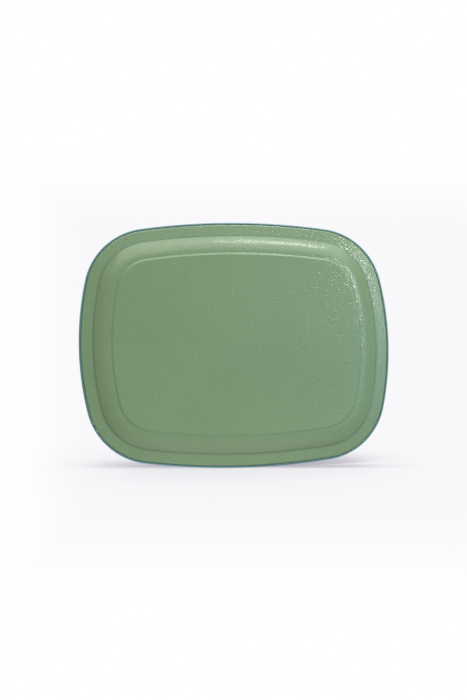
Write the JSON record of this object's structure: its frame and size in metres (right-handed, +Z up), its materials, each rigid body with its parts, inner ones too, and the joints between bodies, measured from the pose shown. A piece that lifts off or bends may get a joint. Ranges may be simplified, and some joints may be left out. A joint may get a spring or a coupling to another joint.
{
  "type": "serving tray",
  "caption": "Shallow rectangular pressed-metal serving tray with bulging sides, stepped flat panel, rounded wall, flat flange and wired rim, pebbled enamel underneath.",
  "frame": {"origin": "middle of the flat underside panel, on the surface that the tray rests on", "axes": "+Z up, out of the serving face; X along the long side; Y along the short side"},
  "size_m": [0.3366, 0.2626, 0.0114],
  "materials": {
    "tinplate": "bright rolled tinplate, hidden between its coats",
    "steel_wire": "drawn steel wire inside the curl",
    "green_enamel": "glossy sage green enamel with a fine orange-peel pebble",
    "teal_print": "glossy varnished teal print"
  },
  "bodies": {
    "root": {"steel_pressing": "tinplate", "rim_wire": "steel_wire", "underside_enamel": "green_enamel", "face_print": "teal_print"}
  },
  "joints": []
}
